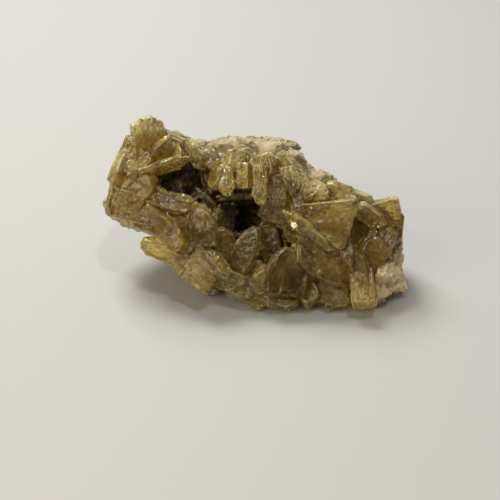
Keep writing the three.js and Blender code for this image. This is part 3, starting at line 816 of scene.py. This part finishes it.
def crystal_material(name, tones, absorb, density, rough):
    """Translucent barite: striated, with fracture lines inside; painted highlight on the thin edges and
    fracture lines, and painted brown shade in the crevices, in the deep parts and on each facet.
    """
    n = Nodes(name)
    place, local = n.place(), n.attribute("local", "Vector")
    tone, smoke, pale = n.attribute("tone"), n.attribute("smoke"), n.attribute("pale")
    # edge is high on edges and rims that stand out, where a highlight is painted, and low in crevices, where
    # shade is painted; deep is painted shade in the deep parts
    edge = n.ramp(n.attribute("edge"), 0.08, 0.26)
    crevice_shade = n.ramp(n.attribute("edge"), -0.05, -0.3)
    deep = n.ramp(n.attribute("deep"), -0.1, 1.6)
    stretch = n.vectors("MULTIPLY", {0: local, 1: (0.14, 1.1, 1.1)})
    lines = n.noise(stretch, 1.6, 5, 0.65, 0.3)
    wide = n.noise(stretch, 0.5, 3, 0.6, 0.4)
    squeezed = n.vectors("MULTIPLY", {0: local, 1: (0.2, 0.42, 0.42)})
    offset = n.vectors("SCALE", {0: n.add("ShaderNodeCombineXYZ", {0: tone}).outputs[0], 3: 9.0})
    cleaved = n.vectors("ADD", {0: squeezed, 1: offset})
    border = n.voronoi(cleaved, 1.0, "Distance", "DISTANCE_TO_EDGE")
    fracture = n.math("MULTIPLY", n.ramp(border, 0.05, 0.02), n.ramp(n.noise(place, 330, 2), 0.5, 0.6))
    patch = n.part(n.voronoi(cleaved, 1.0, "Color"), 0)
    chip = n.part(n.voronoi(cleaved, 2.7, "Color"), 1)
    vein = n.math("ABSOLUTE", n.math("SUBTRACT", n.noise(place, 80, 4, 0.6, 0.8), 0.5))
    vein = n.ramp(vein, 0.012, 0.003)
    cloud = n.noise(place, 120, 4, 0.6, 0.3)
    colour = n.mix(tone, tones[0], tones[1])
    colour = n.mix(smoke, colour, tones[2])
    # painted shade: each facet darkened by its own random share, less on clear crystals
    shaded = n.math("MULTIPLY", n.ramp(n.attribute("facet_shade"), 0.65, 0.3), 0.75)
    clouded = n.math("ADD", 0.2, n.math("MULTIPLY", n.ramp(smoke, 0.0, 0.12), 0.8))
    colour = n.mix(n.math("MULTIPLY", shaded, clouded), colour, tones[3])
    patches = n.math("MULTIPLY", n.ramp(patch, 0.5, 0.9), 0.35)
    colour = n.mix(n.math("MULTIPLY", patches, clouded), colour, tones[3])
    chips = n.math("MULTIPLY", n.ramp(chip, 0.6, 1.0), 0.35)
    colour = n.mix(n.math("MULTIPLY", chips, clouded), colour, tones[4])
    colour = n.mix(n.math("MULTIPLY", n.ramp(wide, 0.42, 0.62), 0.3), colour, tones[3])
    colour = n.mix(n.math("MULTIPLY", n.ramp(lines, 0.45, 0.65), 0.25), colour, tones[3])
    # painted shade: the deep parts and the crevices darkened to dark brown
    colour = n.mix(n.math("MULTIPLY", deep, 0.6), colour, tones[4])
    colour = n.mix(n.math("MULTIPLY", crevice_shade, 0.8), colour, tones[4])
    colour = n.mix(n.math("MULTIPLY", vein, 0.45), colour, tones[4])
    cloudy = n.math("MULTIPLY", pale, n.ramp(cloud, 0.3, 0.6))
    colour = n.mix(n.math("MULTIPLY", cloudy, 0.75), colour, (0.64, 0.57, 0.34, 1))
    # painted highlight: thin edges, rims and fracture lines lightened to the edge tone, less on smoky
    # crystals
    painted_highlight = n.math("MAXIMUM", n.math("MULTIPLY", edge, 0.5), n.math("MULTIPLY", fracture, 0.35))
    painted_highlight = n.math("MULTIPLY", painted_highlight, n.math("SUBTRACT", 1.0, n.math("MULTIPLY", smoke, 0.5)))
    colour = n.mix(painted_highlight, colour, tones[5])
    glint = n.math("MULTIPLY", n.ramp(chip, 0.14, 0.04), 0.4)
    colour = n.mix(n.math("MULTIPLY", glint, n.math("SUBTRACT", 1.0, smoke)), colour, tones[5])
    n.join(colour, n.shader.inputs["Base Color"])
    speck = n.noise(place, 1500, 2, 0.6)
    roughness = n.math("MULTIPLY_ADD", n.ramp(speck, 0.5, 0.8), 0.2)
    roughness.node.inputs[2].default_value = rough
    n.join(roughness, n.shader.inputs["Roughness"])
    through = n.math("SUBTRACT", 0.95, n.math("MULTIPLY", n.ramp(cloud, 0.35, 0.7), 0.25), True)
    through = n.math("SUBTRACT", through, n.math("MULTIPLY", cloudy, 0.5), True)
    through = n.math("SUBTRACT", through, n.math("MULTIPLY", painted_highlight, 0.5), True)
    n.join(through, n.shader.inputs["Transmission Weight"])
    n.shader.inputs["IOR"].default_value = 1.64
    height = n.math("ADD", n.math("MULTIPLY", lines, 0.8), n.math("MULTIPLY", speck, 0.08))
    height = n.math("ADD", height, n.math("MULTIPLY", fracture, 0.2))
    bump = n.add("ShaderNodeBump", {"Strength": 0.45, "Distance": 0.0003, "Height": height})
    n.join(bump.outputs[0], n.shader.inputs["Normal"])
    volume = n.add("ShaderNodeVolumeAbsorption", {"Color": absorb, "Density": density})
    n.join(volume.outputs[0], n.output.inputs["Volume"])
    return n.material


def crust_material(name, dark, light, pale, low, back):
    """Crystal crust between the large crystals and in the hollows: cloudy, with honey and brown grains;
    further behind the face it turns to the colour back, a painted shade in the hollows.
    """
    n = Nodes(name)
    place = n.place()
    cells = n.add("ShaderNodeTexVoronoi", {"Vector": place, "Scale": 520.0}, feature="F1")
    shade = n.part(cells.outputs["Color"], 0)
    patches = n.ramp(n.noise(place, 110, 4, 0.6), 0.35, 0.7)
    colour = n.mix(shade, dark, light)
    colour = n.mix(n.math("MULTIPLY", patches, 0.35), colour, pale)
    out = n.vectors("DOT_PRODUCT", {0: place, 1: tuple(FACE_AXES[2])}, "Value")
    level = n.math("SUBTRACT", out, float(FACE_AXES[2] @ FACE_MIDDLE) * MM)
    # further behind the face the colour turns to back: painted shade on the hollow lining, darkening to near
    # black deep in the hollows; on the face crust only a greyer tone
    colour = n.mix(n.ramp(level, *low), colour, back)
    n.join(colour, n.shader.inputs["Base Color"])
    n.join(n.math("MULTIPLY_ADD", shade, 0.25), n.shader.inputs["Roughness"])
    n.shader.inputs["Roughness"].links[0].from_node.inputs[2].default_value = 0.25
    n.shader.inputs["IOR"].default_value = 1.64
    grain = n.noise(place, 1100, 3, 0.6)
    height = n.math("ADD", n.math("MULTIPLY", cells.outputs["Distance"], 0.8), n.math("MULTIPLY", grain, 0.4))
    bump = n.add("ShaderNodeBump", {"Strength": 0.7, "Distance": 0.0004, "Height": height})
    n.join(bump.outputs[0], n.shader.inputs["Normal"])
    return n.material


def rock_material():
    """Pale grey to cream rock with tan stains, dark specks and fine glassy grains, and painted light that
    makes its right end paler.
    """
    n = Nodes("host_rock")
    place = n.place()
    axes = n.add("ShaderNodeSeparateXYZ", {0: place})
    broad = n.noise(place, 45, 4, 0.6, 0.3)
    middle = n.noise(place, 190, 5, 0.65, 0.2)
    fine = n.noise(place, 900, 3, 0.6)
    cells = n.add("ShaderNodeTexVoronoi", {"Vector": place, "Scale": 650.0}, feature="F1")
    shade = n.part(cells.outputs["Color"], 1)
    colour = n.mix(n.ramp(middle, 0.35, 0.7), (0.38, 0.3, 0.16, 1), (0.62, 0.54, 0.36, 1))
    colour = n.mix(n.math("MULTIPLY", n.ramp(broad, 0.5, 0.68), 0.55), colour, (0.38, 0.27, 0.12, 1))
    left = n.ramp(axes.outputs[0], -0.03, -0.045)
    colour = n.mix(n.math("MULTIPLY", left, 0.45), colour, (0.36, 0.36, 0.27, 1))
    # painted light: the right end is made paler and creamier, lifting it out of the key light's shade
    right = n.ramp(axes.outputs[0], 0.034, 0.042)
    colour = n.mix(n.math("MULTIPLY", right, 0.85), colour, (0.95, 0.76, 0.46, 1))
    colour = n.mix(n.math("MULTIPLY", shade, 0.3), colour, (0.3, 0.26, 0.18, 1))
    colour = n.mix(n.math("MULTIPLY", n.ramp(fine, 0.62, 0.72), 0.6), colour, (0.16, 0.13, 0.09, 1))
    n.join(colour, n.shader.inputs["Base Color"])
    glassy = n.math("MULTIPLY", n.ramp(shade, 0.75, 0.95), 0.5)
    n.join(n.math("SUBTRACT", 0.95, glassy), n.shader.inputs["Roughness"])
    height = n.math("ADD", n.math("MULTIPLY", cells.outputs["Distance"], 0.7), n.math("MULTIPLY", fine, 0.9))
    bump = n.add("ShaderNodeBump", {"Strength": 0.8, "Distance": 0.0005, "Height": height})
    n.join(bump.outputs[0], n.shader.inputs["Normal"])
    return n.material


# Tones: two of clear crystal, smoky, striated (also the painted facet shade), dark brown (chips, veins, and
# the painted shade deep down and in crevices), and the painted highlight of edges and glints
HONEY = (
    (0.95, 0.7, 0.14, 1), (1.0, 0.85, 0.25, 1), (0.28, 0.18, 0.05, 1),
    (0.66, 0.48, 0.1, 1), (0.15, 0.09, 0.018, 1), (1.0, 0.9, 0.45, 1),
)  # fmt: skip
SMOKY = (
    (0.6, 0.44, 0.16, 1), (0.72, 0.56, 0.24, 1), (0.46, 0.32, 0.12, 1),
    (0.34, 0.22, 0.07, 1), (0.1, 0.06, 0.02, 1), (0.85, 0.74, 0.42, 1),
)  # fmt: skip
honey = crystal_material("honey_barite", HONEY, (0.9, 0.74, 0.2, 1), 100.0, 0.08)
smoky = crystal_material("smoky_barite", SMOKY, (0.75, 0.55, 0.22, 1), 140.0, 0.12)
crust_look = crust_material(
    "barite_crust", (0.5, 0.38, 0.1, 1), (0.84, 0.63, 0.17, 1), (0.84, 0.71, 0.34, 1),
    (-0.0005, -0.0035), (0.46, 0.38, 0.22, 1),
)  # fmt: skip
# the hollow lining's back colour is painted shade, near black deep in the hollows
lining_look = crust_material(
    "hollow_crust", (0.045, 0.026, 0.008, 1), (0.32, 0.21, 0.07, 1), (0.42, 0.3, 0.12, 1),
    (-0.006, -0.013), (0.05, 0.032, 0.014, 1),
)  # fmt: skip
rock_look = rock_material()

# Pieces

FACE = ("barite_crystals", "barite")  # the node that a piece replaces, and its slot
HOLLOW = ("hollow_crystals", "hollow_barite")
FACE_GRAINS = 110  # small crystals sought on each part of the face
HOLLOW_GRAINS = 900

finish_mesh("rock", make_rock(), rock_look, "host_rock", "rock")
finish_mesh("crystal_crust", make_crust(), crust_look, *FACE)

for name, low, high in (("left", -99, -15), ("middle", -15, 13), ("right", 13, 99)):
    large = Batch()
    for row in FACE_CRYSTALS:
        if low < row[1] <= high:
            add_crystal(large, row)
    finish_mesh(f"{name}_crystals", grown_together(large, CRYSTAL_VOXEL, CRYSTAL_DEPTH), honey, *FACE)

inner = Batch()
for row in HOLLOW_CRYSTALS:
    add_crystal(inner, row)
finish_mesh("inner_crystals", grown_together(inner, INNER_VOXEL, INNER_DEPTH), smoky, *HOLLOW)

lining = make_lining()
finish_mesh("hollow_lining", lining, lining_look, *HOLLOW)

druse = Batch()
for name in ("left_crystals", "middle_crystals", "right_crystals"):
    grown = bpy.data.objects[name].data
    grown.calc_loop_triangles()
    tree = BVHTree.FromPolygons(
        [Vector(p) for p in corners_of(grown)], [tuple(t.vertices) for t in grown.loop_triangles]
    )
    scatter(
        druse, grown, FACE_GRAINS, 0.9,
        lambda p, n: (n[:, 2] > 0.5) & (p[:, 2] > -1), 0.2, tree=tree, open_share=0.0,
    )  # fmt: skip
finish_mesh("small_crystals", druse.mesh("small_crystals"), honey, *FACE)

inner_druse = Batch()
scatter(inner_druse, lining, HOLLOW_GRAINS, 1.6, lambda p, n: p[:, 2] > -16, 0.8)
finish_mesh("hollow_small_crystals", inner_druse.mesh("hollow_small_crystals"), smoky, *HOLLOW)

# Floor, light and camera

floor_mesh = bpy.data.meshes.new("floor")
floor_mesh.from_pydata([(-3, -3, 0), (3, -3, 0), (3, 3, 0), (-3, 3, 0)], [], [(0, 1, 2, 3)])
floor = bpy.data.objects.new("floor", floor_mesh)
bpy.context.scene.collection.objects.link(floor)
floor_nodes = Nodes("floor")
floor_nodes.shader.inputs["Base Color"].default_value = (0.487, 0.488, 0.48, 1)
floor_nodes.shader.inputs["Roughness"].default_value = 0.75
floor_mesh.materials.append(floor_nodes.material)

world = bpy.data.worlds.new("studio")
bpy.context.scene.world = world
world.use_nodes = True
sky = world.node_tree
direction = sky.nodes.new("ShaderNodeTexCoord").outputs["Generated"]
tilt = sky.nodes.new("ShaderNodeVectorMath")
tilt.operation = "DOT_PRODUCT"
tilt.inputs[1].default_value = (-0.15, 0.6, 0.78)
sky.links.new(direction, tilt.inputs[0])
spread = sky.nodes.new("ShaderNodeMapRange")
spread.interpolation_type = "SMOOTHSTEP"
for key, value in (("From Min", -0.5), ("From Max", 0.9), ("To Min", 0.03), ("To Max", 0.3)):
    spread.inputs[key].default_value = value
sky.links.new(tilt.outputs["Value"], spread.inputs["Value"])
sky.nodes["Background"].inputs[0].default_value = (1.0, 0.98, 0.94, 1)
sky.links.new(spread.outputs[0], sky.nodes["Background"].inputs[1])


def area_light(name, place, size, power, colour=(1, 1, 1)):
    light = bpy.data.lights.new(name, "AREA")
    light.energy, light.size, light.color = power, size, colour
    lamp = bpy.data.objects.new(name, light)
    bpy.context.scene.collection.objects.link(lamp)
    lamp.location = place
    lamp.rotation_euler = (Vector(place) - Vector((0, 0, 0.02))).to_track_quat("Z", "Y").to_euler()


area_light("key", (-0.36, 0.54, 0.9), 0.5, 12.3, (1, 0.985, 0.95))
area_light("fill", (-0.55, -0.4, 0.5), 0.5, 2.4, (1, 0.88, 0.66))
area_light("sparkle", (0.1, -0.12, 0.7), 0.05, 0.8, (1, 0.97, 0.9))

DISTANCE = 0.3
LENS, SENSOR = 66, 36
IMAGE = 500
FACE_PIXEL = (255.5, 215)  # where the middle of the face lies in the photo
camera_data = bpy.data.cameras.new("camera")
camera = bpy.data.objects.new("camera", camera_data)
bpy.context.scene.collection.objects.link(camera)
bpy.context.scene.camera = camera
camera_data.lens, camera_data.sensor_width = LENS, SENSOR
toward = Vector(FACE_AXES[2])
facing = toward.to_track_quat("Z", "Y")
camera.rotation_euler = facing.to_euler()
pixel = DISTANCE * SENSOR / LENS / IMAGE
beside, above = FACE_PIXEL[0] - IMAGE / 2, IMAGE / 2 - FACE_PIXEL[1]
right, upward = facing @ Vector((1, 0, 0)), facing @ Vector((0, 1, 0))
aim = Vector(FACE_MIDDLE * MM) - right * beside * pixel - upward * above * pixel
camera.location = aim + toward * DISTANCE

scene = bpy.context.scene
scene.cycles.max_bounces = 24
scene.cycles.transmission_bounces = 20
scene.cycles.transparent_max_bounces = 16
scene.cycles.sample_clamp_indirect = 6
scene.view_settings.view_transform = "Standard"
